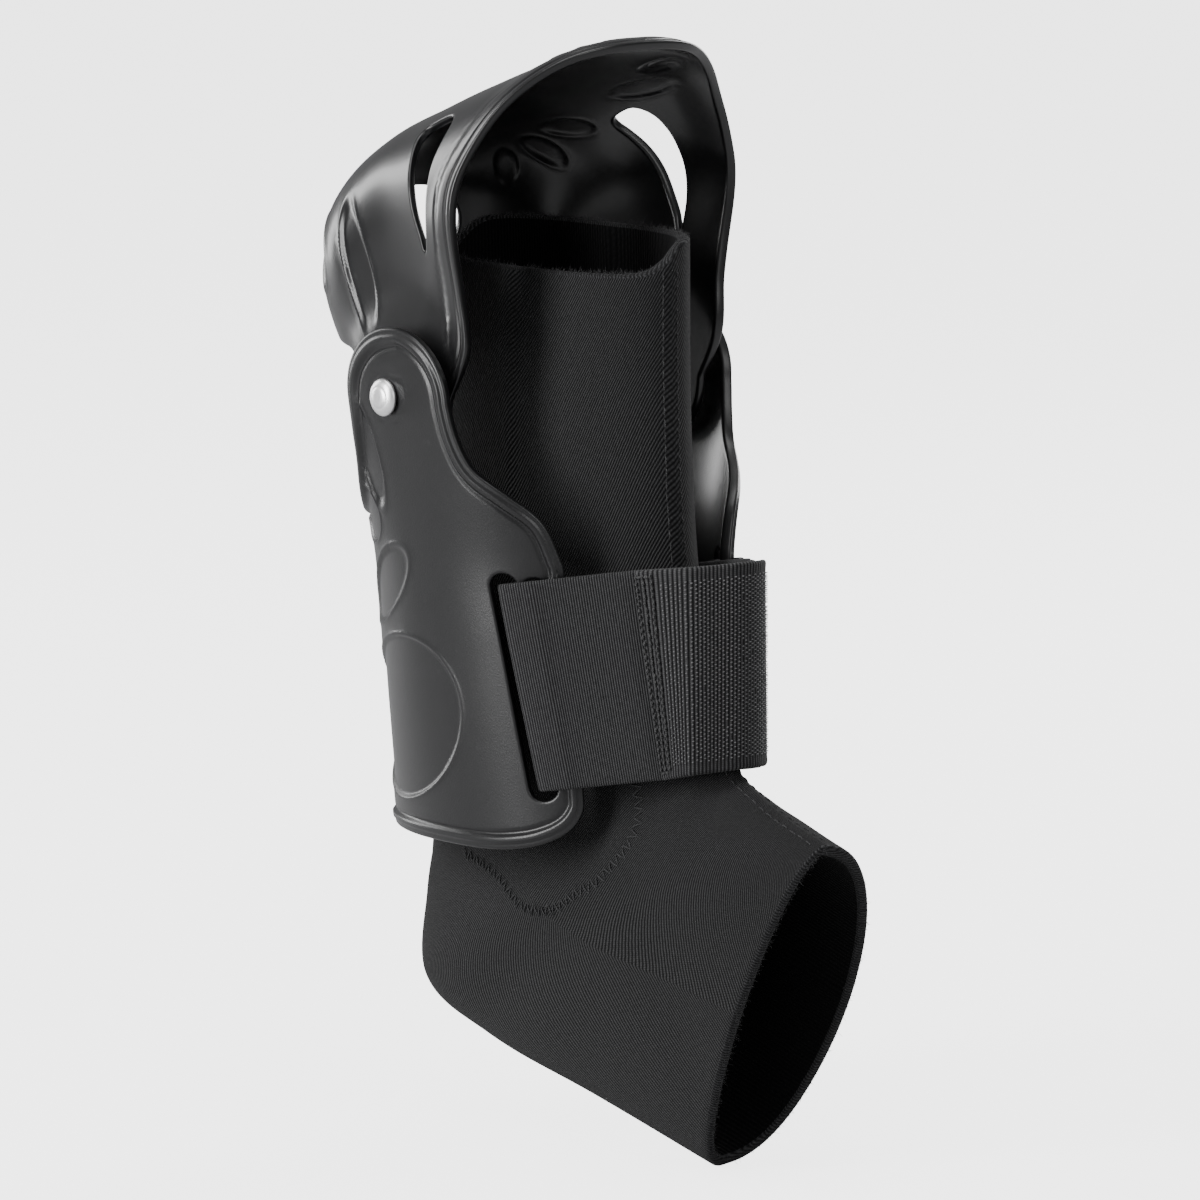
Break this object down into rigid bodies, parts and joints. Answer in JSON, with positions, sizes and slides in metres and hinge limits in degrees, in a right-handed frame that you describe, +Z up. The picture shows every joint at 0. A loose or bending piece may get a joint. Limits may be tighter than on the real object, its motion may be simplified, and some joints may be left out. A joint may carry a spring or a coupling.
{
  "type": "hinged ankle support",
  "caption": "Black ankle support: an elastic sleeve, a hard calf shell around it, a hinged heel-cup hood riveted on top and a wide front strap with a hook-tape end.",
  "frame": {"origin": "the ankle joint, in the middle of the sleeve where the leg and the foot meet", "axes": "+Z up the leg, toes towards -Y, +X from the near plate to the far plate"},
  "size_m": [0.096, 0.154, 0.2648],
  "materials": {
    "sleeve_knit": "matt knit over foam rubber",
    "shell_plastic": "satin moulded",
    "hood_plastic": "glossy moulded",
    "rivet_metal": "bright domed",
    "webbing": "ribbed woven",
    "hook_tape": "hook tape"
  },
  "bodies": {
    "brace": {"sleeve": "sleeve_knit", "calf_shell": "shell_plastic", "rivet_near": "rivet_metal", "rivet_far": "rivet_metal", "strap_webbing": "webbing", "strap_hook_tape": "hook_tape"},
    "hood": {"hood": "hood_plastic"}
  },
  "joints": [
    {"name": "hood_pivot", "type": "hinge", "parent": "brace", "child": "hood", "pos_m": [0, 0.0155, 0.118], "axis": [1, 0, 0], "range_deg": [-22, 22]}
  ]
}
